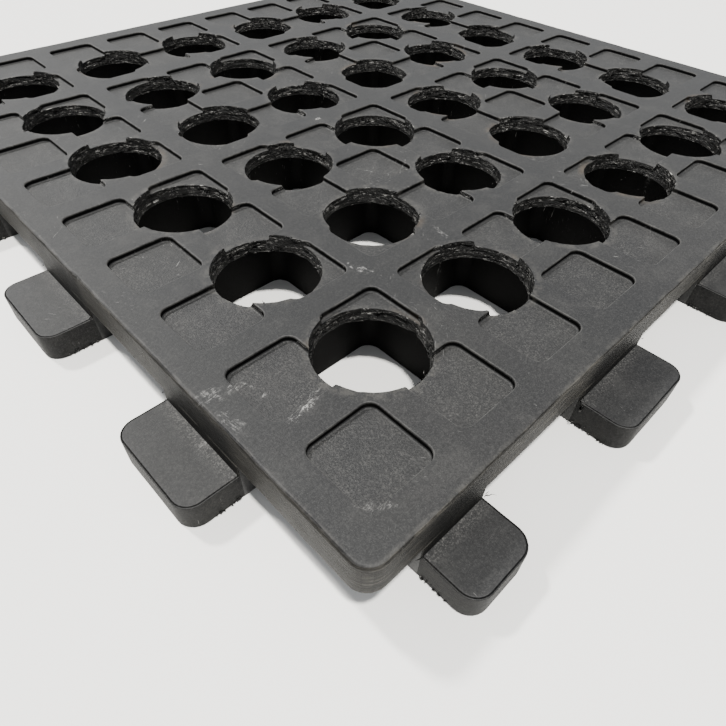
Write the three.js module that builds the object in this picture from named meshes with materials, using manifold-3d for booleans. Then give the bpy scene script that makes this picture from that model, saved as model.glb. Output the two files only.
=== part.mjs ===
// Paddock grid tile: one square moulding of recycled plastic that is laid on soft ground.
// A ten by ten field of shallow square recesses gives grip on the top face. Underneath, a grid
// of square cells carries the load, and a saw-cut round hole opens each cell to the top. The
// top plate oversails the cell grid on all four sides, and flat tabs reach out from the foot
// of the grid, so that each tile's tabs slip under its neighbours' edges.
// Units are millimetres. X and Y run along the sides, Z is up, and the origin is on the
// underside at the tile's centre.

import * as THREE from 'three';
import { mergeVertices } from 'three/addons/utils/BufferGeometryUtils.js';
import Module from 'manifold-3d';

// Square plate
const SLAB_SIDE = 500;
const TILE_HEIGHT = 41;
const EDGE_DEPTH = 19;
const SLAB_CORNER_RADIUS = 9;
const TOP_EDGE_RADIUS = 2;

// Cell grid under the plate
const CELLS_PER_SIDE = 6;
const PLATE_THICKNESS = 9.5;
const CELL_WALL = 9.3;
const OVERHANG = 27.6;
const CELL_CORNER_RADIUS = 7;
const GRID_CORNER_RADIUS = 4;

// Round hole in each cell's ceiling
const HOLE_LEDGE = 6;

// Field of shallow square recesses on the top face
const RECESSES_PER_SIDE = 10;
const RECESS_MARGIN = 15;
const RIB_WIDTH = 14;
const RECESS_DEPTH = 3;
const RECESS_CORNER_RADIUS = 5;
const RECESS_TAPER = 0.4;

// Interlocking tabs at the foot of the cell grid
const TABS_PER_SIDE = 4;
const TAB_THICKNESS = 15;
const TAB_REACH = 24.8;
const TAB_CORNER_SETBACK = 9;
const TAB_SIDE_CLEARANCE = 7.75;
const TAB_CORNER_RADIUS = 8.5;
const TAB_EDGE_CHAMFER = 0.8;

// Smoothness of the rounded shapes
const HOLE_SEGMENTS = 24;
const SMALL_CORNER_SEGMENTS = 2;
const LARGE_CORNER_SEGMENTS = 4;

// Sizes that follow from the ones above
const gridSide = SLAB_SIDE - 2 * OVERHANG;
const cellPitch = (gridSide - CELL_WALL) / CELLS_PER_SIDE;
const cellSide = cellPitch - CELL_WALL;
const cellHeight = TILE_HEIGHT - PLATE_THICKNESS;
const holeRadius = cellSide / 2 - HOLE_LEDGE;
const recessPitch = (SLAB_SIDE - 2 * RECESS_MARGIN + RIB_WIDTH) / RECESSES_PER_SIDE;
const recessSide = recessPitch - RIB_WIDTH;
const overhangUnderside = TILE_HEIGHT - EDGE_DEPTH;
const tabSlots = 2 * TABS_PER_SIDE;
const tabRun = SLAB_SIDE - 2 * TAB_CORNER_SETBACK;
const tabWidth = (tabRun - (tabSlots - 1) * TAB_SIDE_CLEARANCE) / tabSlots;
const tabPitch = 2 * (tabWidth + TAB_SIDE_CLEARANCE);

// Cutting bodies pass this far beyond the faces that they cut, joined bodies reach this far
// into one another, and corners closer together than the last value count as one.
const CUT_PAST = 5;
const JOIN_OVERLAP = 5;
const SAME_POINT = 1e-4;

const wasm = await Module();
wasm.setup();

function toSolid(geometry) {
  const bare = geometry.clone();
  bare.deleteAttribute('normal');
  bare.deleteAttribute('uv');
  const merged = mergeVertices(bare, SAME_POINT);
  return new wasm.Manifold(new wasm.Mesh({
    numProp: 3,
    vertProperties: new Float32Array(merged.attributes.position.array),
    triVerts: new Uint32Array(merged.index.array),
  }));
}

function toGeometry(solid) {
  const mesh = solid.getMesh();
  const geometry = new THREE.BufferGeometry();
  geometry.setAttribute('position', new THREE.BufferAttribute(mesh.vertProperties, 3));
  geometry.setIndex(new THREE.BufferAttribute(mesh.triVerts, 1));
  geometry.computeVertexNormals();
  return geometry;
}

const SQUARE_CORNERS = [0, 0, 0, 0];

// Rectangle from (x0, y0) to (x1, y1). radii are its corner radii, counter-clockwise from
// (x0, y0), and a radius of zero leaves a sharp corner.
function roundedRectangle(x0, y0, x1, y1, radii, segments) {
  const corners = [[x0, y0], [x1, y0], [x1, y1], [x0, y1]];
  const inward = [[1, 1], [-1, 1], [-1, -1], [1, -1]];
  const points = [];
  corners.forEach(([x, y], corner) => {
    const radius = radii[corner];
    if (radius === 0) {
      points.push(new THREE.Vector2(x, y));
      return;
    }
    const centreX = x + inward[corner][0] * radius;
    const centreY = y + inward[corner][1] * radius;
    const start = Math.PI + corner * Math.PI / 2;
    for (let step = 0; step <= segments; step += 1) {
      const angle = start + step / segments * Math.PI / 2;
      points.push(new THREE.Vector2(
        centreX + radius * Math.cos(angle),
        centreY + radius * Math.sin(angle),
      ));
    }
  });
  return new THREE.Shape(points);
}

function squareOutline(side, radius, segments) {
  const half = side / 2;
  return roundedRectangle(-half, -half, half, half, [radius, radius, radius, radius], segments);
}

function prism(shape, bottom, top) {
  const geometry = new THREE.ExtrudeGeometry(shape, { depth: top - bottom, bevelEnabled: false });
  geometry.translate(0, 0, bottom);
  return toSolid(geometry);
}

// A prism whose top edge is eased by the given size, in one or more steps
function easedPrism(shape, bottom, top, size, steps) {
  const geometry = new THREE.ExtrudeGeometry(shape, {
    depth: top - bottom,
    bevelEnabled: true,
    bevelThickness: size,
    bevelSize: size,
    bevelOffset: -size,
    bevelSegments: steps,
  });
  geometry.translate(0, 0, bottom - size);
  geometry.computeBoundingBox();
  const span = 2 * geometry.boundingBox.getSize(new THREE.Vector3()).length();
  const centre = geometry.boundingBox.getCenter(new THREE.Vector3());
  const trim = new THREE.BoxGeometry(span, span, top - bottom);
  trim.translate(centre.x, centre.y, (top + bottom) / 2);
  return toSolid(geometry).intersect(toSolid(trim));
}

// Centres of a square field of count by count copies
function fieldCentres(count, pitch) {
  const centres = [];
  for (let column = 0; column < count; column += 1) {
    for (let row = 0; row < count; row += 1) {
      centres.push([
        (column - (count - 1) / 2) * pitch,
        (row - (count - 1) / 2) * pitch,
      ]);
    }
  }
  return centres;
}

function copiesAt(solid, centres) {
  return centres.map(([x, y]) => solid.translate([x, y, 0]));
}

function makeSlab() {
  const outline = squareOutline(SLAB_SIDE, SLAB_CORNER_RADIUS, LARGE_CORNER_SEGMENTS);
  return easedPrism(outline, overhangUnderside, TILE_HEIGHT, TOP_EDGE_RADIUS, SMALL_CORNER_SEGMENTS);
}

function makeCellGrid() {
  const outline = squareOutline(gridSide, GRID_CORNER_RADIUS, SMALL_CORNER_SEGMENTS);
  return prism(outline, 0, cellHeight);
}

// The tabs of the side at the negative end of Y, from the corner at the negative end of X.
// The first tab stops flush with the outer face of the cell grid. Under the plate's edge each
// tab's root rises to meet the edge's underside.
function makeTabsOfOneSide() {
  const edge = -SLAB_SIDE / 2;
  const gridFace = -gridSide / 2;
  const tabs = [];
  for (let index = 0; index < TABS_PER_SIDE; index += 1) {
    const left = edge + TAB_CORNER_SETBACK + index * tabPitch;
    const right = left + tabWidth;
    const start = Math.max(left, gridFace);
    const radii = [TAB_CORNER_RADIUS, TAB_CORNER_RADIUS, 0, 0];
    const innerEnd = gridFace + JOIN_OVERLAP;
    const tongue = roundedRectangle(
      start, edge - TAB_REACH, right, innerEnd, radii, LARGE_CORNER_SEGMENTS,
    );
    tabs.push(easedPrism(tongue, 0, TAB_THICKNESS, TAB_EDGE_CHAMFER, 1));
    const root = roundedRectangle(start, edge, right, innerEnd, SQUARE_CORNERS, 0);
    tabs.push(prism(root, 0, overhangUnderside + JOIN_OVERLAP));
  }
  return wasm.Manifold.union(tabs);
}

function makeTabs() {
  const oneSide = makeTabsOfOneSide();
  const sides = [0, 90, 180, 270].map((turn) => oneSide.rotate([0, 0, turn]));
  return wasm.Manifold.union(sides);
}

function makeCells() {
  const outline = squareOutline(cellSide, CELL_CORNER_RADIUS, SMALL_CORNER_SEGMENTS);
  const cell = prism(outline, -CUT_PAST, cellHeight);
  return copiesAt(cell, fieldCentres(CELLS_PER_SIDE, cellPitch));
}

function makeHoles() {
  const bottom = cellHeight - CUT_PAST;
  const top = TILE_HEIGHT + CUT_PAST;
  const cylinder = new THREE.CylinderGeometry(holeRadius, holeRadius, top - bottom, HOLE_SEGMENTS);
  cylinder.rotateX(Math.PI / 2);
  cylinder.translate(0, 0, (bottom + top) / 2);
  return copiesAt(toSolid(cylinder), fieldCentres(CELLS_PER_SIDE, cellPitch));
}

// Each recess narrows slightly towards its floor, as its mould needs.
function makeRecesses() {
  const floor = TILE_HEIGHT - RECESS_DEPTH;
  const outline = squareOutline(recessSide, RECESS_CORNER_RADIUS, SMALL_CORNER_SEGMENTS);
  const geometry = new THREE.ExtrudeGeometry(outline, {
    depth: RECESS_DEPTH + CUT_PAST,
    bevelEnabled: false,
  });
  geometry.translate(0, 0, floor);
  const position = geometry.attributes.position;
  const floorScale = 1 - 2 * RECESS_TAPER / recessSide;
  for (let index = 0; index < position.count; index += 1) {
    if (position.getZ(index) < floor + RECESS_DEPTH / 2) {
      position.setX(index, position.getX(index) * floorScale);
      position.setY(index, position.getY(index) * floorScale);
    }
  }
  return copiesAt(toSolid(geometry), fieldCentres(RECESSES_PER_SIDE, recessPitch));
}

function makeTile() {
  const body = wasm.Manifold.union([makeSlab(), makeCellGrid(), makeTabs()]);
  const cuts = wasm.Manifold.union([...makeCells(), ...makeHoles(), ...makeRecesses()]);
  return body.subtract(cuts);
}

const recycledPlastic = new THREE.MeshStandardMaterial({
  color: 0x4b4d4d,
  roughness: 0.78,
  metalness: 0,
});

const gridTile = new THREE.Mesh(toGeometry(makeTile()), recycledPlastic);
gridTile.name = 'grid_tile';

const paddockGridTile = new THREE.Group();
paddockGridTile.name = 'paddock_grid_tile';
paddockGridTile.add(gridTile);

export default paddockGridTile;
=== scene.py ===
import bpy
import numpy as np
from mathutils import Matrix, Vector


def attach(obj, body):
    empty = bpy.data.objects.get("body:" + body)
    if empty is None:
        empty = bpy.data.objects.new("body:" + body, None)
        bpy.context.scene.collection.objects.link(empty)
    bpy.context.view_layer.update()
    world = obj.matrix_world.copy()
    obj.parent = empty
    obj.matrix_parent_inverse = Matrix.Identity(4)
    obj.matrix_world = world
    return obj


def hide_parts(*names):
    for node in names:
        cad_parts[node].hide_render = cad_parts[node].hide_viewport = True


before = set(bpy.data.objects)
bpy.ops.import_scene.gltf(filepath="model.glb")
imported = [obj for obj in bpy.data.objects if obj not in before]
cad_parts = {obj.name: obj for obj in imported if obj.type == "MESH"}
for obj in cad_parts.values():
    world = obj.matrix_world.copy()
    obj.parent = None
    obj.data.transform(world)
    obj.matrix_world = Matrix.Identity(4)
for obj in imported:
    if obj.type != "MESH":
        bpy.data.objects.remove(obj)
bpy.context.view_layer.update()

# Plate and foot of the tile.
# The square plate is hot-pressed in recycled plastic in one shot with the cell grid below it.
# Its edges come out of the mould slightly rounded and are then scuffed in use.
MM = 0.001
PLATE_SIDE = 500.0
TILE_HEIGHT = 41.0
EDGE_UNDERSIDE = 22.0
PLATE_THICKNESS = 9.5
PLATE_CORNER = 9
GRID_SIDE = 444.8
GRID_CORNER = 4
CELL_WALL = 9.3
CELLS_PER_SIDE = 6
CELL_PITCH = (GRID_SIDE - CELL_WALL) / CELLS_PER_SIDE
CELL_SIDE = CELL_PITCH - CELL_WALL
CELL_CEILING = TILE_HEIGHT - PLATE_THICKNESS


def rounded_outline(x0, y0, x1, y1, radii, arc_steps, side_step):
    """Closed outline of a rectangle with rounded corners, counter-clockwise, and its outward
    normals: each corner is its arc centre plus radius times (cos a, sin a) over a quarter turn,
    and each side is a straight run between two arcs, cut into steps of about side_step."""
    corners = np.array([[x0, y0], [x1, y0], [x1, y1], [x0, y1]], float)
    inward = np.array([[1, 1], [-1, 1], [-1, -1], [1, -1]], float)
    points, normals = [], []
    for k in range(4):
        steps = arc_steps if radii[k] > 0 else 1
        angle = np.pi + k * np.pi / 2 + np.linspace(0, np.pi / 2, steps + 1)
        normal = np.stack([np.cos(angle), np.sin(angle)], 1)
        arc = corners[k] + inward[k] * radii[k] + radii[k] * normal
        if radii[k] <= 0:
            arc, normal = arc[:1], normal[:1] + normal[-1:]
        after = (k + 1) % 4
        turn = np.pi + after * np.pi / 2
        goal = np.array([np.cos(turn), np.sin(turn)])
        goal = corners[after] + (inward[after] + goal) * radii[after]
        count = max(int(np.linalg.norm(goal - arc[-1]) / side_step), 1)
        along = np.arange(1, count)[:, None] / count
        straight = arc[-1] + (goal - arc[-1]) * along
        side_normal = np.array([np.sin(k * np.pi / 2), -np.cos(k * np.pi / 2)])
        points += [arc, straight]
        normals += [normal, np.repeat(side_normal[None], len(straight), 0)]
    return np.concatenate(points), np.concatenate(normals)


def carried_profile(points, normals, profile):
    """Rows of the outline, one for each (inset, height) pair of the profile: every outline
    point moves against its outward normal by the inset and lies at the height."""
    inset, height = np.array(profile, float).T
    flat = points[None] - inset[:, None, None] * normals[None]
    tall = np.broadcast_to(height[:, None, None], (*flat.shape[:2], 1))
    return np.concatenate([flat, tall], 2)


def closed_mesh(name, rows, centres=((0.0, 0.0),)):
    """One mesh of closed bodies: the rows are joined by quads, the first and last row are
    capped by one face each, and the body is repeated at every centre. Millimetres go in."""
    if rows.ndim == 3:
        rows = np.repeat(rows[None], len(centres), 0)
    copies, count, across = rows.shape[:3]
    shift = np.zeros((copies, 1, 1, 3))
    shift[:, 0, 0, :2] = np.array(centres, float)
    vertices = ((rows + shift) * MM).reshape(-1, 3)
    index = np.arange(copies * count * across).reshape(copies, count, across)
    low, high = index[:, :-1], index[:, 1:]
    quads = np.stack([low, np.roll(low, -1, 2), np.roll(high, -1, 2), high], 3).reshape(-1, 4)
    faces = quads.tolist() + index[:, 0, ::-1].tolist() + index[:, -1].tolist()
    mesh = bpy.data.meshes.new(name)
    mesh.from_pydata(vertices.tolist(), [], faces)
    piece = bpy.data.objects.new(name, mesh)
    bpy.context.scene.collection.objects.link(piece)
    return piece


def field_of(count, pitch):
    """Centres of a square field of count by count copies."""
    step = (np.arange(count) - (count - 1) / 2) * pitch
    return np.stack(np.meshgrid(step, step, indexing="ij"), -1).reshape(-1, 2)


def waves(where, scale, seed, layers=4):
    """Smooth noise between about -1 and 1: a sum of sines along directions picked by the seed,
    each layer finer and weaker than the last."""
    pick = np.random.default_rng(seed)
    total = np.zeros(where.shape[:-1])
    for layer in range(layers):
        for _ in range(3):
            direction = pick.normal(size=where.shape[-1])
            direction /= np.linalg.norm(direction)
            phase = pick.uniform(0, 2 * np.pi)
            turns = where @ direction * (2 ** layer) / scale * 2 * np.pi
            total += np.sin(turns + phase) / (1.6 ** layer)
    return total / 4


half = PLATE_SIDE / 2
outline, outward = rounded_outline(-half, -half, half, half, [PLATE_CORNER] * 4, 8, 3.0)
plate_profile = [
    (0.9, EDGE_UNDERSIDE), (0.35, EDGE_UNDERSIDE + 0.2), (0.05, EDGE_UNDERSIDE + 0.8), (0, 27), (0, 34),
    (0, TILE_HEIGHT - 1.3), (0.14, TILE_HEIGHT - 0.65), (0.5, TILE_HEIGHT - 0.25), (0.95, TILE_HEIGHT - 0.42),
    (1.3, TILE_HEIGHT - 0.07), (2.0, TILE_HEIGHT)]
plate_rows = carried_profile(outline, outward, plate_profile)
wear = np.array([0.35, 0.35, 0.2, 0.1, 0.1, 0.25, 0.45, 0.6, 0.7, 0.5, 0.2])[:, None]
dent = np.abs(waves(plate_rows, 34, 3)) * wear
dent += np.clip(waves(plate_rows, 13, 4) - 0.62, 0, 1) * wear * 4.0
crease = np.clip(0.5 + 0.8 * waves(plate_rows[8], 44, 5, 2), 0, 1) * np.where(outward[:, 1] < -0.9, 0.2, 1.0)
plate_rows[8, :, 2] = TILE_HEIGHT - 0.13 - 0.3 * crease
plate_rows[..., :2] -= outward[None] * dent[..., None]
tile = closed_mesh("grid_tile_moulding", plate_rows)

grid_half = GRID_SIDE / 2
outline, outward = rounded_outline(
    -grid_half, -grid_half, grid_half, grid_half, [GRID_CORNER] * 4, 5, 500)
foot_profile = [(0.5, 0), (0, 0.5), (0, CELL_CEILING)]
foot = closed_mesh("cell_grid_foot", carried_profile(outline, outward, foot_profile))

# Interlocking tabs, four to a side.
# They are part of the same moulding: flat tongues at the foot of the grid, 15 mm thick, that
# slip under the next tile's edge. The first of each side stops at the corner of the grid.
TAB_TOP = 15.0
TAB_REACH = 24.8
TAB_CORNER = 8.5
TAB_CLEARANCE = 7.75
TABS_PER_SIDE = 4
TAB_PLACES = 2 * TABS_PER_SIDE
TAB_WIDTH = (PLATE_SIDE - 2 * PLATE_CORNER - (TAB_PLACES - 1) * TAB_CLEARANCE) / TAB_PLACES
TAB_PITCH = 2 * (TAB_WIDTH + TAB_CLEARANCE)


def quarter_turns(rows):
    """The rows and their copies turned by one, two and three quarter turns about the centre."""
    turned = [rows]
    for _ in range(3):
        last = turned[-1].copy()
        last[..., 0], last[..., 1] = -turned[-1][..., 1], turned[-1][..., 0]
        turned.append(last)
    return turned


tab_profile = [
    (0.7, 0), (0.2, 0.25), (0, 0.8), (0, 7), (0, TAB_TOP - 0.75), (0.12, TAB_TOP - 0.38),
    (0.4, TAB_TOP - 0.22), (0.65, TAB_TOP - 0.75), (1.0, TAB_TOP - 0.1), (1.5, TAB_TOP)]
tongues, roots = [], []
for place in range(TABS_PER_SIDE):
    left = -half + PLATE_CORNER + place * TAB_PITCH
    start = max(left, -grid_half)
    corners = [TAB_CORNER, TAB_CORNER, 1, 1]
    outline, outward = rounded_outline(
        start, -half - TAB_REACH, left + TAB_WIDTH, -grid_half + 4, corners, 7, 4.0)
    rows = carried_profile(outline, outward, tab_profile)
    rough = waves(rows, 21, 10 + place)[..., None] * 0.12
    rows[..., :2] -= (np.abs(rough) * outward[None])
    tongues += [(place == 0, turned) for turned in quarter_turns(rows)]
    outline, outward = rounded_outline(
        start, -half + 0.15, left + TAB_WIDTH, -grid_half + 4, [0.6] * 4, 3, 500)
    rows = carried_profile(outline, outward, [(0.3, 0.02), (0, 0.4), (0, EDGE_UNDERSIDE + 4)])
    roots += quarter_turns(rows)
first_tabs = closed_mesh("corner_tabs", np.stack([rows for first, rows in tongues if first]), [(0, 0)] * 4)
other_tabs = closed_mesh("side_tabs", np.stack([rows for first, rows in tongues if not first]), [(0, 0)] * 12)
tab_roots = closed_mesh("tab_roots", np.stack(roots), [(0, 0)] * 16)

# Recesses of the top face, ten by ten.
# The mould's square studs press them 3 mm deep. Their walls lean a little, their lips are
# softly rounded and a small fillet runs round each floor.
RECESSES_PER_SIDE = 10
RECESS_PITCH = 48.4
RECESS_SIDE = 34.4
RECESS_CORNER = 5
RECESS_DEPTH = 3.0
RECESS_FLOOR = TILE_HEIGHT - RECESS_DEPTH
recess_half = RECESS_SIDE / 2
outline, outward = rounded_outline(
    -recess_half, -recess_half, recess_half, recess_half, [RECESS_CORNER] * 4, 6, 60)
recess_profile = [
    (1.25, RECESS_FLOOR), (0.8, RECESS_FLOOR + 0.08), (0.48, RECESS_FLOOR + 0.32),
    (0.33, RECESS_FLOOR + 0.75), (0.12, TILE_HEIGHT - 0.75), (0.02, TILE_HEIGHT - 0.4),
    (-0.22, TILE_HEIGHT - 0.12), (-0.6, TILE_HEIGHT),
    (-0.8, TILE_HEIGHT + 4)]
recess_centres = field_of(RECESSES_PER_SIDE, RECESS_PITCH)
recess_cutter = closed_mesh("recess_studs", carried_profile(outline, outward, recess_profile), recess_centres)

# Cells under the plate, six by six.
# Square pockets left by the lower half of the mould, open to the ground, with walls of 9.3 mm.
CELL_CORNER = 7
cell_half = CELL_SIDE / 2
outline, outward = rounded_outline(
    -cell_half, -cell_half, cell_half, cell_half, [CELL_CORNER] * 4, 6, 80)
cell_profile = [
    (-0.4, -5), (-0.4, 0), (0, 0.5), (0, CELL_CEILING - 1.2), (0.12, CELL_CEILING - 0.6),
    (0.45, CELL_CEILING - 0.2), (1.2, CELL_CEILING)]
cell_centres = field_of(CELLS_PER_SIDE, CELL_PITCH)
cell_cutter = closed_mesh("cell_cores", carried_profile(outline, outward, cell_profile), cell_centres)

# Round holes, one over each cell.
# They are cut through the finished moulding with a toothed hole saw, which tears the plastic:
# the wall is left in rough rings and layers, and the rims are ragged.
HOLE_RADIUS = 25.6
HOLE_COLUMNS = 84
HOLES = CELLS_PER_SIDE ** 2


def top_height(x, y):
    """Height of the top face: the recess floor inside a recess and the plate's top elsewhere.
    The distance to a rounded square is taken from the nearest recess centre."""
    middle = RECESSES_PER_SIDE / 2
    u = np.abs((x / RECESS_PITCH + middle) % 1 - 0.5) * RECESS_PITCH - recess_half + RECESS_CORNER
    v = np.abs((y / RECESS_PITCH + middle) % 1 - 0.5) * RECESS_PITCH - recess_half + RECESS_CORNER
    gap = np.hypot(np.clip(u, 0, None), np.clip(v, 0, None)) - RECESS_CORNER
    return np.where(gap < 0, RECESS_FLOOR, TILE_HEIGHT)


def sawn_cutter(centre, radius, seed):
    """Rows of one hole's cutting body. Column angle and depth below the local top face are
    the two parameters. The radius is the saw's radius, plus a small flare at the rim, plus
    rings that change fast with depth and slowly with angle, plus torn flakes and nicks."""
    pick = np.random.default_rng(seed)
    angle = np.linspace(0, 2 * np.pi, HOLE_COLUMNS, endpoint=False)
    angle = angle + pick.uniform(-0.25, 0.25, HOLE_COLUMNS) * 2 * np.pi / HOLE_COLUMNS
    top = top_height(centre[0] + radius * np.cos(angle), centre[1] + radius * np.sin(angle))
    depth = np.array([0.0, 0.18, 0.45, 0.9])[:, None] + 0 * angle
    below = np.linspace(0, 1, 12)[:, None] ** 0.9
    deep = (depth[-1] + (top - CELL_CEILING - depth[-1] + 0.4) * below[1:])
    depth = np.concatenate([depth, deep])
    height = top - depth
    around = np.stack([np.cos(angle) * 3.2, np.sin(angle) * 3.2], 1)
    around = np.broadcast_to(around[None], (*height.shape, 2))
    ring = np.concatenate([around, height[..., None] * 2.4], 2)
    flake = np.concatenate([around * 4.0, height[..., None] * 1.1], 2)
    rough = waves(ring, 5.2, seed + 1, 4) * 0.33
    torn = np.clip(waves(flake, 4.1, seed + 2, 3) - 0.28, 0, 1) * 1.5
    tongue = np.clip(waves(flake, 3.3, seed + 3, 3) - 0.55, 0, 1) * 2.2
    layer = 0.42 * np.tanh((depth - 3.6 - waves(around * 2, 6, seed + 4, 2) * 1.3) * 1.6)
    flare = 0.45 * np.exp(-depth / 0.22) + 0.12 * np.exp(-depth / 1.1)
    fade = np.clip(depth / 0.8, 0.25, 1)
    chipped = np.clip(waves(around * 5, 3.0, seed + 5, 3) - 0.5, 0, 1) * 0.9 * np.exp(-depth / 0.7)
    reach = radius + flare + (rough + torn - tongue - layer * 0.7) * fade + chipped
    above = np.array([[0.05], [4.0]]) + 0 * angle
    reach = np.concatenate([reach[:1] + 0 * above, reach])
    height = np.concatenate([top + above[::-1] * 1.0, height])
    height[0] = TILE_HEIGHT + 4
    below_row = np.array([[CELL_CEILING - 4.0]]) + 0 * angle
    reach = np.concatenate([reach, reach[-1:]])
    height = np.concatenate([height, below_row])
    body = np.stack([reach * np.cos(angle), reach * np.sin(angle), height], 2)
    return body[::-1]


pick = np.random.default_rng(11)
hole_shift = pick.uniform(-0.7, 0.7, (HOLES, 2))
hole_radius = HOLE_RADIUS + pick.uniform(-0.35, 0.35, HOLES)
measured = {0: (1.2, 0.8, 25.4), 1: (1.1, -0.9, 25.8), 2: (1.2, -0.4, 25.7), 6: (-0.9, 0.9, 26.0),
            7: (-1.0, -0.1, 25.5), 8: (0.2, -1.0, 25.8), 12: (0.3, 1.4, 25.6), 13: (0.0, 0.2, 25.3)}
for hole, (dx, dy, radius) in measured.items():
    hole_shift[hole] = dx, dy
    hole_radius[hole] = radius
hole_centres = cell_centres + hole_shift
sawn = np.stack([sawn_cutter(hole_centres[k], hole_radius[k], 100 + 7 * k) for k in range(HOLES)])
hole_cutter = closed_mesh("hole_saw", sawn, hole_centres)


def join_or_cut(target, tool, operation):
    """Joins the tool to the target, or cuts it away, and deletes the tool."""
    change = target.modifiers.new(operation.lower(), "BOOLEAN")
    change.operation = operation
    change.solver = "MANIFOLD"
    change.object = tool
    bpy.context.view_layer.update()
    graph = bpy.context.evaluated_depsgraph_get()
    made = bpy.data.meshes.new_from_object(target.evaluated_get(graph))
    target.modifiers.remove(change)
    target.data = made
    bpy.data.objects.remove(tool)


for tool in (foot, tab_roots, first_tabs, other_tabs):
    join_or_cut(tile, tool, "UNION")
for tool in (cell_cutter, recess_cutter, hole_cutter):
    join_or_cut(tile, tool, "DIFFERENCE")

# Finish of the moulding.
# Matte dark recycled plastic with the fine grain of a blasted mould, worn paler at the edges
# and scuffed by use. Where the saw went through, it is torn, painted near black as shade and
# given pale painted highlights on its ridges. Edges and walls that lie in the shade get copies
# of the finish with less shine, and painted shade in their colour.


class Finish:
    """A procedural material while it is made. Each method adds one node and gives its output."""

    def __init__(self, name, shine, dustiness=0.0):
        self.material = bpy.data.materials.new(name)
        self.material.use_nodes = True
        self.tree = self.material.node_tree
        self.shader = self.tree.nodes["Principled BSDF"]
        self.shader.inputs["Specular IOR Level"].default_value = shine
        self.shader.inputs["Sheen Weight"].default_value = dustiness
        self.place = self.node("ShaderNodeTexCoord", "Object")

    def node(self, kind, output, inputs=(), **settings):
        """Any node, with its settings, and with values or links on its inputs."""
        made = self.tree.nodes.new(kind)
        for key, value in settings.items():
            setattr(made, key, value)
        for key, value in dict(inputs).items():
            if isinstance(value, bpy.types.NodeSocket):
                self.tree.links.new(value, made.inputs[key])
            else:
                made.inputs[key].default_value = value
        return made.outputs[output]

    def noise(self, scale, detail, rough, vector=None, warp=0.0):
        """Fractal noise with so many waves a metre, or on a vector that is already scaled."""
        inputs = {"Vector": vector or self.place, "Scale": scale, "Detail": detail}
        inputs.update({"Roughness": rough, "Distortion": warp})
        return self.node("ShaderNodeTexNoise", "Fac", inputs)

    def vector(self, operation, first, second=(0, 0, 0), output=0):
        """One vector operation, such as a difference, a product or a length."""
        return self.node("ShaderNodeVectorMath", output, {0: first, 1: second}, operation=operation)

    def laid(self, turn, scale, centre=(0, 0, 0)):
        """The place, taken from a centre, turned about the height and stretched."""
        moved = self.vector("SUBTRACT", self.place, centre)
        angle = (0, 0, np.radians(-turn))
        turned = self.node("ShaderNodeMapping", 0, {"Vector": moved, "Rotation": angle})
        return self.vector("MULTIPLY", turned, scale)

    def between(self, value, low, high, first=0.0, last=1.0):
        """A smooth step from first to last while the value goes from low to high."""
        ends = {"Value": value, "From Min": low, "From Max": high, "To Min": first, "To Max": last}
        return self.node("ShaderNodeMapRange", "Result", ends, interpolation_type="SMOOTHSTEP")

    def maths(self, operation, first, second=0.0):
        return self.node("ShaderNodeMath", 0, {0: first, 1: second}, operation=operation)

    def times(self, first, *others):
        """The product of all the values."""
        for other in others:
            first = self.maths("MULTIPLY", first, other)
        return first

    def most(self, first, *others):
        """The greatest of all the values."""
        for other in others:
            first = self.maths("MAXIMUM", first, other)
        return first

    def blend(self, amount, under, over):
        """The over colour laid on the under colour by the amount."""
        return self.node("ShaderNodeMix", 2, {0: amount, 6: under, 7: over}, data_type="RGBA")

    def bump(self, height, distance, strength, normal=None):
        """A bumped normal from a height field, on top of an earlier one."""
        inputs = {"Height": height, "Distance": distance, "Strength": strength}
        if normal:
            inputs["Normal"] = normal
        return self.node("ShaderNodeBump", 0, inputs)

    def wire(self, colour, roughness, normal):
        """Links the three results to the shader and gives the finished material."""
        for name, socket in (("Base Color", colour), ("Roughness", roughness), ("Normal", normal)):
            self.tree.links.new(socket, self.shader.inputs[name])
        return self.material


def grey(level, warmth=0.0):
    """Linear colour of a grey from its screen level, 0 to 255, made a little warmer or cooler."""
    screen = np.array([level + warmth, level + warmth * 0.35, level - warmth], float) / 255
    screen = np.clip(screen, 0, 1)
    linear = np.where(screen < 0.04045, screen / 12.92, ((screen + 0.055) / 1.055) ** 2.4)
    return (*linear, 1.0)


# Single scuff marks: place in millimetres, length, width, turn in degrees and strength
SCUFF_MARKS = [
    (-220.3, -186.3, 9.5, 2.6, 15, 1.3), (-228.0, -170.5, 4.0, 1.1, 14, 0.9),
    (-240.0, -159.5, 13.0, 4.2, -9, 0.75), (-245.5, -174.0, 3.5, 9.0, 8, 0.35),
    (-149.0, -140.5, 1.6, 8.0, 10, 1.2), (-146.2, -143.5, 1.4, 6.5, 12, 1.0),
    (-231.5, -233.0, 8.0, 2.6, -38, 0.4), (-228.0, -226.4, 2.6, 0.8, -20, 0.9),
    (-96.2, -146.2, 7.0, 1.6, 70, 0.7), (-54.6, -2.2, 2.0, 1.8, 0, 4.0),
    (-112.0, -196.0, 4.0, 1.2, 40, 0.5), (60.0, -190.0, 12.0, 1.6, 35, 0.6),
    (150.0, 90.0, 9.0, 1.4, -50, 0.6), (-170.0, 120.0, 8.0, 2.0, 20, 0.6)]


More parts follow.
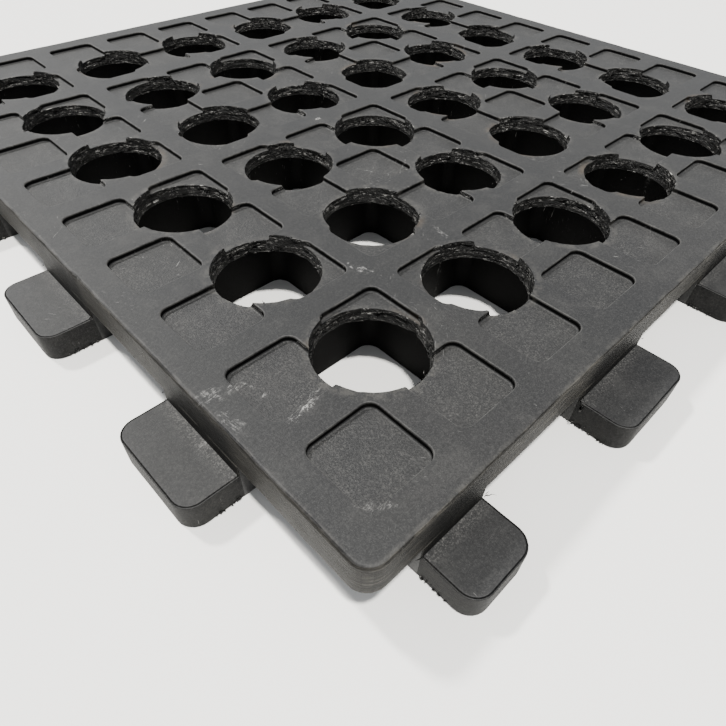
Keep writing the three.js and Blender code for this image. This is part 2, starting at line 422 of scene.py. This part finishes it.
def moulded_plastic(name, shine, dustiness=0.0):
    """Grey clouded by large soft noise and speckled by fine noise. Pale scuffs are stretched
    noise cut at a high level, in three directions, and single marks are ellipses filled with
    ragged noise. Edges, rims, tab roots and recess floors are told apart by position. The
    inset is the distance in millimetres from the plate's rounded outline, and the run is the
    distance along each side from the corner setback, in metres."""
    make = Finish(name, shine, dustiness)
    spot = make.node("ShaderNodeSeparateXYZ", "X", {"Vector": make.place}).node
    x, y, height = spot.outputs["X"], spot.outputs["Y"], spot.outputs["Z"]
    out = make.most(make.maths("ABSOLUTE", x), make.maths("ABSOLUTE", y))
    flat = make.vector("ABSOLUTE", make.vector("MULTIPLY", make.place, (1000, 1000, 0)))
    straight = half - PLATE_CORNER
    beyond = make.vector("MAXIMUM", make.vector("SUBTRACT", flat, (straight, straight, 0)))
    inset = make.maths("SUBTRACT", PLATE_CORNER, make.vector("LENGTH", beyond, output="Value"))
    fine = make.noise(1900, 3, 0.78)
    pebble = make.noise(1350, 3, 0.65)
    coarse = make.noise(760, 4, 0.72, warp=0.4)
    smudge = make.noise(60, 4, 0.6)
    cloud = make.noise(15, 5, 0.62)
    patchy = make.between(make.noise(95, 4, 0.65), 0.36, 0.62, 0.1, 1.0)
    in_field = make.between(out, 0.2452, 0.2448)
    recess_floor = make.times(make.between(height, 0.0386, 0.0381), make.between(height, 0.034, 0.036))
    shaded_recess_wall = make.times(
        make.between(height, 0.0381, 0.0385), make.between(height, 0.0405, 0.0399), in_field)
    lips = make.times(make.between(height, 0.0400, 0.0404), make.between(height, 0.04097, 0.0409), in_field)
    near_top = make.between(height, 0.0365, 0.0372)

    colour = make.blend(make.between(cloud, 0.3, 0.7), grey(23, -0.5), grey(28, 0.2))
    colour = make.blend(make.times(make.between(smudge, 0.48, 0.72), 0.3), colour, grey(50, 1))
    colour = make.blend(make.times(make.between(fine, 0.5, 0.72), 0.5), colour, grey(68, 1))
    colour = make.blend(make.times(make.between(fine, 0.5, 0.3), 0.6), colour, grey(10))
    colour = make.blend(make.times(make.between(coarse, 0.5, 0.66), 0.3), colour, grey(56, 1))
    colour = make.blend(make.times(make.between(coarse, 0.49, 0.36), 0.4), colour, grey(9))
    gritty = make.times(recess_floor, make.between(pebble, 0.5, 0.64), patchy)
    colour = make.blend(make.times(gritty, 0.42), colour, grey(74, 2))
    pitted = make.times(recess_floor, make.between(pebble, 0.46, 0.34))
    colour = make.blend(make.times(pitted, 0.4), colour, grey(9))
    # Painted shade: the recess walls are coloured near black.
    colour = make.blend(make.times(shaded_recess_wall, 0.93), colour, grey(3))
    colour = make.blend(make.times(lips, patchy, 0.4), colour, grey(78, 2))

    cell = make.vector("MULTIPLY", make.place, (1 / (CELL_PITCH * MM),) * 3)
    cell = make.vector("SUBTRACT", make.vector("FRACTION", cell), (0.5, 0.5, 0))
    cell = make.vector("MULTIPLY", cell, (1, 1, 0))
    from_hole = make.vector("LENGTH", cell, output="Value")
    over_grid = make.between(out, 0.2185, 0.2175)
    # Painted shade: the walls and ceiling of the cells are coloured nearly black.
    painted_cell_shade = make.times(over_grid, make.between(height, 0.0316, 0.0312))
    colour = make.blend(make.times(painted_cell_shade, 0.9), colour, grey(12))
    rim_band = make.times(make.between(from_hole, 30.5 / CELL_PITCH, 26.5 / CELL_PITCH), over_grid)
    dusty = make.times(rim_band, near_top, make.between(make.noise(260, 4, 0.7), 0.42, 0.62))
    colour = make.blend(make.times(dusty, 0.35), colour, grey(72, 3))
    rusty = make.times(rim_band, make.between(make.noise(24, 3, 0.6), 0.56, 0.68))
    colour = make.blend(make.times(rusty, 0.45), colour, (0.05, 0.034, 0.02, 1))

    streaks = None
    scratches = (
        (38, 1500, 130, 0.64, 22, 0.56), (-52, 1700, 150, 0.65, 19, 0.56), (84, 1300, 190, 0.66, 31, 0.58))
    for turn, across, along, low, patch, start in scratches:
        streak = make.noise(1, 4, 0.62, make.laid(turn, (along, across, along)), 0.6)
        streak = make.between(streak, low, low + 0.1)
        streak = make.times(streak, make.between(make.noise(patch, 2, 0.5), start, start + 0.12))
        streaks = make.most(streaks, streak) if streaks else streak
    ragged = make.between(make.noise(900, 5, 0.78, warp=0.6), 0.40, 0.56)
    uneven = make.between(make.noise(210, 3, 0.7, warp=0.8), 0.3, 0.7, -0.5, 0.8)
    strands = [make.noise(1, 5, 0.75, make.laid(turn, (230, 900, 230)), 1.2) for turn in (8, 98)]
    strands = [make.between(strand, 0.45, 0.6) for strand in strands]
    for mark_x, mark_y, long, wide, turn, strength in SCUFF_MARKS:
        mark = make.laid(turn, (1000 / long, 1000 / wide, 0), (mark_x * MM, mark_y * MM, 0))
        reach = make.maths("ADD", make.vector("LENGTH", mark, output="Value"), uneven)
        strand = strands[int(wide > long or turn > 60)]
        mark = make.times(make.between(reach, 1.1, 0.3, 0.0, strength), ragged, strand)
        streaks = make.most(streaks, mark)
    scuffs = make.times(streaks, make.between(height, 0.013, 0.017, 0.4, 1.0))
    colour = make.blend(make.times(scuffs, 0.75), colour, grey(152, 2))

    shoulder = make.times(make.between(inset, 2.8, 1.2), make.between(height, 0.036, 0.040))
    rubbed = make.times(shoulder, make.between(make.noise(150, 4, 0.7), 0.42, 0.62))
    colour = make.blend(make.times(rubbed, 0.35), colour, grey(72, 3))
    # Painted shade along the crease at the top edge, weaker on the -Y side.
    painted_crease_shade = make.times(
        make.between(inset, 0.6, 0.9), make.between(inset, 1.8, 1.3), make.between(height, 0.0400, 0.0403),
        make.between(make.noise(560, 4, 0.75), 0.36, 0.6), make.between(y, -0.2488, -0.2440, 0.3, 1.0))
    colour = make.blend(make.times(painted_crease_shade, 0.55), colour, grey(5))
    side = make.times(make.between(inset, 1.3, 0.6), make.between(height, 0.0150, 0.0153))
    dragged = make.between(make.noise(1, 5, 0.7, make.laid(0, (90, 90, 1300)), 0.5), 0.46, 0.66)
    gouged = make.between(make.noise(1, 5, 0.7, make.laid(0, (60, 60, 800)), 0.8), 0.5, 0.38)
    # Side faces: a darker, slightly warm tone. The warmth is the face's own, and the darkness is painted
    # shade, stronger away from the -Y side. The pale drag marks are wear, laid on more strongly on the -Y
    # side as painted light.
    colour = make.blend(make.times(side, make.between(y, -0.244, -0.2488, 0.7, 0.4)), colour, grey(16, 3))
    pale_drag_and_painted_light = make.between(y, -0.244, -0.2488, 0.35, 0.9)
    colour = make.blend(make.times(side, dragged, pale_drag_and_painted_light), colour, grey(66, 4))
    colour = make.blend(make.times(side, gouged, 0.5), colour, grey(8, 1))
    along_x = make.maths("SUBTRACT", make.between(y, -0.2484, -0.2488), make.between(y, 0.2484, 0.2488))
    along_y = make.maths("SUBTRACT", make.between(x, 0.2484, 0.2488), make.between(x, -0.2484, -0.2488))
    run = make.maths("ADD", make.times(along_x, x), make.times(along_y, y))
    run = make.maths("ADD", run, straight * MM)
    half_tab = TAB_WIDTH / TAB_PITCH / 2
    step = make.maths("DIVIDE", run, TAB_PITCH * MM)
    step = make.maths("FRACT", make.maths("ADD", step, 0.5 - half_tab))
    from_tab = make.maths("ABSOLUTE", make.maths("SUBTRACT", step, 0.5))
    over_tab = make.between(from_tab, half_tab + 0.05, half_tab - 0.06)
    over_tab = make.times(over_tab, make.between(run, 0.006, 0.026))
    # Painted shade on the side faces above each tab, darkest low down and fading upwards.
    painted_shade_over_tabs = make.times(
        side, over_tab, make.between(height, 0.0428, 0.0350), make.between(smudge, 0.3, 0.55, 0.75, 1.0))
    colour = make.blend(make.times(painted_shade_over_tabs, 0.96), colour, grey(3))
    # A pale line just above the lower edge of the side faces: scratched wear and a painted highlight.
    low_lip = make.times(
        side, make.between(height, 0.0237, 0.0228), make.between(height, 0.0213, 0.0222),
        make.between(smudge, 0.42, 0.6))
    colour = make.blend(make.times(low_lip, 0.5), colour, grey(84, 4))
    root = make.times(
        make.between(out, 0.2575, 0.2505), make.between(out, 0.2496, 0.2502),
        make.between(height, 0.0143, 0.0147), make.between(height, 0.0160, 0.0155))
    specks = make.times(root, make.between(make.noise(1500, 3, 0.7), 0.5, 0.62))
    colour = make.blend(make.times(specks, 0.5), colour, grey(92, 2))

    polish = make.between(cloud, 0.3, 0.7, 0.47, 0.58)
    roughness = make.maths("ADD", polish, make.times(make.between(fine, 0.3, 0.7), 0.1))
    normal = make.bump(fine, 0.00011, 0.5)
    normal = make.bump(pebble, 0.00016, 0.35, normal)
    normal = make.bump(make.times(recess_floor, pebble), 0.00035, 0.5, normal)
    normal = make.bump(scuffs, 0.0002, 0.4, normal)
    normal = make.bump(make.times(side, dragged), 0.0004, 0.4, normal)
    normal = make.bump(smudge, 0.0009, 0.3, normal)
    return make.wire(colour, roughness, normal)


def sawn_plastic(name):
    """Painted near black as shade where the saw tore it, with streaks that run round the hole, made
    by noise squeezed along the height. The ridges that stand up get a pale painted highlight."""
    make = Finish(name, 0.16)
    streak = make.noise(1, 5, 0.72, make.laid(0, (170, 170, 1500)), 0.9)
    torn = make.noise(520, 4, 0.7, warp=0.8)
    ridge = make.times(make.between(streak, 0.54, 0.64), make.between(torn, 0.43, 0.57))
    # Painted shade: the torn wall is coloured near black, and the ridges get a pale painted highlight.
    colour = make.blend(make.between(torn, 0.35, 0.65), grey(2), grey(11, 1))
    colour = make.blend(make.times(ridge, 0.85), colour, grey(165, 3))
    roughness = make.between(torn, 0.3, 0.7, 0.25, 0.5)
    normal = make.bump(streak, 0.0012, 0.9)
    normal = make.bump(torn, 0.0006, 0.7, normal)
    return make.wire(colour, roughness, normal)


tile.data.polygons.foreach_set("use_smooth", np.ones(len(tile.data.polygons), bool))
tile.data.set_sharp_from_angle(angle=np.radians(34))
even = tile.modifiers.new("flat faces stay flat", "WEIGHTED_NORMAL")
even.keep_sharp = True
even.weight = 80
tile.data.materials.clear()
tile.data.materials.append(moulded_plastic("moulded recycled plastic", 0.3, 0.1))
tile.data.materials.append(sawn_plastic("sawn recycled plastic"))
# The plate edge and the shaded walls get copies of the plastic with less shine: painted shade.
tile.data.materials.append(moulded_plastic("scuffed plate edge with painted shade", 0.1))
tile.data.materials.append(moulded_plastic("recess and cell walls with painted shade", 0.03))
middle, facing = np.zeros((2, len(tile.data.polygons) * 3))
tile.data.polygons.foreach_get("center", middle)
tile.data.polygons.foreach_get("normal", facing)
middle, lean = middle.reshape(-1, 3) / MM, np.abs(facing.reshape(-1, 3)[:, 2])
from_centre = np.min(np.linalg.norm(middle[:, None, :2] - hole_centres[None], axis=2), axis=1)
sawn_face = (middle[:, 2] > CELL_CEILING - 0.3) & (from_centre < HOLE_RADIUS + 2.6) & (lean < 0.93)
sawn_face &= (from_centre < HOLE_RADIUS + 1.2) | (lean < 0.6)
far_out = np.abs(middle[:, :2]).max(axis=1)
beyond = np.clip(np.abs(middle[:, :2]) - (half - PLATE_CORNER), 0, None)
inset = PLATE_CORNER - np.linalg.norm(beyond, axis=1)
# Edge faces and the walls of cells and recesses take the less shiny copies, as painted shade.
edge_face = (inset < 1.0) & (lean < 0.8)
wall_face = (middle[:, 2] < CELL_CEILING + 0.1) & ((lean < 0.95) | (middle[:, 2] > EDGE_UNDERSIDE + 3))
wall_face &= far_out < grid_half - 4
shaded_recess_wall = (middle[:, 2] > RECESS_FLOOR + 0.3) & (middle[:, 2] < TILE_HEIGHT - 0.4)
wall_face |= shaded_recess_wall & (lean < 0.3) & (far_out < half - 4)
finish_of_face = np.select([sawn_face, edge_face, wall_face], [1, 2, 3], 0)
tile.data.polygons.foreach_set("material_index", finish_of_face.astype(np.int32))
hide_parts("grid_tile")
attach(tile, "root")

# Torn flakes at the hole rims.
# The saw leaves thin strings and flakes of the same plastic hanging from each rim, still
# attached at one end.


def shreds(name, starts, ways, lengths, thickness, seed):
    """One piece of tapering strings. Along a string the place is its start plus the way times
    the distance, plus a sideways curl that grows with the square of the distance. Round it,
    five points lie on a flattened circle whose size shrinks to the tip."""
    pick = np.random.default_rng(seed)
    count = len(starts)
    along = np.linspace(0, 1, 6)
    step = along[None, :, None]
    ways = ways / np.linalg.norm(ways, axis=1, keepdims=True)
    side = np.cross(ways, pick.normal(size=(count, 3)))
    side /= np.linalg.norm(side, axis=1, keepdims=True)
    back = np.cross(ways, side)
    reach = lengths[:, None, None]
    curl = pick.uniform(-0.5, 0.5, (count, 1, 1)) * reach
    kink = pick.uniform(-0.12, 0.12, (count, 1, 1)) * reach
    line = starts[:, None] + ways[:, None] * step * reach
    line = line + side[:, None] * curl * step ** 2 + back[:, None] * kink * np.sin(step * 7)
    radius = thickness[:, None] * (1 - 0.8 * along[None] ** 1.5) * pick.uniform(0.6, 1.3, (count, 6))
    angle = np.linspace(0, 2 * np.pi, 5, endpoint=False)[None, None, :, None]
    ring = np.cos(angle) * side[:, None, None] * 1.5 + np.sin(angle) * back[:, None, None] * 0.6
    rows = line[:, :, None] + ring * radius[..., None, None]
    reach_out = half + TAB_REACH - 0.05
    rows = np.clip(rows, (-reach_out, -reach_out, 0.05), (reach_out, reach_out, TILE_HEIGHT - 0.05))
    piece = closed_mesh(name, rows, [(0, 0)] * count)
    piece.data.polygons.foreach_set("use_smooth", np.ones(len(piece.data.polygons), bool))
    piece.data.materials.append(shred_plastic)
    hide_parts("grid_tile")
    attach(piece, "root")
    return piece


# The shreds take the same finish, with its painted shade and painted highlights.
shred_plastic = sawn_plastic("torn shreds of plastic")
pick = np.random.default_rng(42)
angle = pick.uniform(0, 2 * np.pi, (HOLES, 9))
rim_x = hole_centres[:, :1] + (hole_radius[:, None] + 0.5) * np.cos(angle)
rim_y = hole_centres[:, 1:] + (hole_radius[:, None] + 0.5) * np.sin(angle)
rim_z = top_height(rim_x, rim_y) - pick.uniform(0.3, 6.5, angle.shape)
starts = np.stack([rim_x, rim_y, rim_z], 2).reshape(-1, 3)
swing = pick.choice([-1, 1], angle.shape) * pick.uniform(0.5, 1.6, angle.shape)
ways = np.stack([-np.cos(angle) - swing * np.sin(angle), -np.sin(angle) + swing * np.cos(angle),
                 pick.uniform(-0.5, 0.3, angle.shape)], 2).reshape(-1, 3)
lengths = pick.uniform(0.8, 2.6, len(starts)) * pick.choice([1, 1, 1, 1, 2.0], len(starts))
shreds("sawn_rim_flakes", starts, ways, lengths, pick.uniform(0.15, 0.45, len(starts)), 43)

# Trimming flash on the tabs.
# A ragged fringe is left along the lower edges of each tab near its root, and a few longer
# curls hang where the tab leaves the plate's edge.
tab_left = -half + PLATE_CORNER + np.arange(TABS_PER_SIDE) * TAB_PITCH
tab_sides = np.stack([np.maximum(tab_left, -grid_half), tab_left + TAB_WIDTH], 1)
shape = (4, 4, 2, 15)
curled = np.arange(15) == 14
away = np.array([-1, 1])[None, None, :, None] * np.ones(shape)
x = tab_sides[None, :, :, None] + 0 * away
y = -half - np.where(curled, 0.3, 1 + 16 * pick.uniform(0, 1, shape) ** 2)
z = np.where(curled, pick.uniform(16, 20, shape), pick.uniform(0.3, 2.2, shape))
drift = pick.uniform(-1.2, 0.5, shape)
rise = pick.uniform(-0.5, 0.4, shape)
turn = (np.arange(4) * np.pi / 2)[:, None, None, None]
starts = np.stack([x * np.cos(turn) - y * np.sin(turn), x * np.sin(turn) + y * np.cos(turn), z], -1)
starts = starts.reshape(-1, 3)
ways_x = away * np.cos(turn) - drift * np.sin(turn)
ways_y = away * np.sin(turn) + drift * np.cos(turn)
ways = np.stack([ways_x, ways_y, rise], -1)
lengths = np.where(curled, pick.uniform(1.0, 3.6, shape), pick.uniform(0.15, 0.8, shape)).reshape(-1)
thickness = np.where(curled, 0.25, pick.uniform(0.3, 0.85, shape)).reshape(-1)
root_curls = np.array([
    (-187.6, -250.2, 17.0, 0.8, -0.6, -0.1, 4.4, 0.3), (-187.6, -250.2, 15.6, 1.0, -0.1, 0.3, 2.6, 0.25),
    (-118.6, -250.2, 15.4, -0.6, -0.8, -0.2, 4.8, 0.5), (-118.7, -251.5, 13.0, -1.0, -0.2, -0.3, 3.0, 0.6)])
starts = np.concatenate([starts, root_curls[:, :3]])
ways = np.concatenate([ways.reshape(-1, 3), root_curls[:, 3:6]])
lengths = np.concatenate([lengths, root_curls[:, 6]])
thickness = np.concatenate([thickness, root_curls[:, 7]])
shreds("tab_trim_flash", starts, ways, lengths, thickness, 44)

# Studio.
# A pale floor under the tile, an even pale surround and two soft-edged lamps: one nearly
# overhead and a weaker one from behind.
floor_mesh = bpy.data.meshes.new("studio_floor")
floor_mesh.from_pydata([(-6, -6, 0), (6, -6, 0), (6, 6, 0), (-6, 6, 0)], [], [(0, 1, 2, 3)])
studio_floor = bpy.data.objects.new("studio_floor", floor_mesh)
bpy.context.scene.collection.objects.link(studio_floor)
floor_finish = bpy.data.materials.new("pale floor")
floor_finish.use_nodes = True
floor_shader = floor_finish.node_tree.nodes["Principled BSDF"]
floor_shader.inputs["Base Color"].default_value = (0.88, 0.87, 0.84, 1)
floor_shader.inputs["Roughness"].default_value = 0.7
floor_mesh.materials.append(floor_finish)

surround = bpy.data.worlds.new("pale surround")
surround.use_nodes = True
surround.node_tree.nodes["Background"].inputs["Color"].default_value = (0.93, 0.96, 1.0, 1)
surround.node_tree.nodes["Background"].inputs["Strength"].default_value = 0.7
bpy.context.scene.world = surround


def lamp(name, kind, place, energy, colour):
    """A lamp at the place that shines towards the origin."""
    data = bpy.data.lights.new(name, kind)
    data.energy = energy
    data.color = colour
    made = bpy.data.objects.new(name, data)
    made.location = place
    made.rotation_euler = Vector(place).to_track_quat("Z", "Y").to_euler()
    bpy.context.scene.collection.objects.link(made)
    return data


ceiling_lamp = lamp("ceiling lamp", "SUN", (-0.2, -0.44, 2.0), 6.3, (1.0, 0.985, 0.95))
ceiling_lamp.angle = np.radians(4.5)
far_lamp = lamp("far lamp", "SUN", (-0.3, 1.66, 2.0), 4.2, (1.0, 0.99, 0.965))
far_lamp.angle = np.radians(6)

lens_data = bpy.data.cameras.new("photograph view")
lens_data.sensor_width = 36.0
lens_data.lens = 27.689
lens_data.clip_start = 0.01
camera = bpy.data.objects.new("photograph view", lens_data)
camera.location = (-0.29925, -0.29282, 0.20272)
camera.rotation_euler = (0.75669, -0.026311, -0.767106)
bpy.context.scene.collection.objects.link(camera)
bpy.context.scene.camera = camera
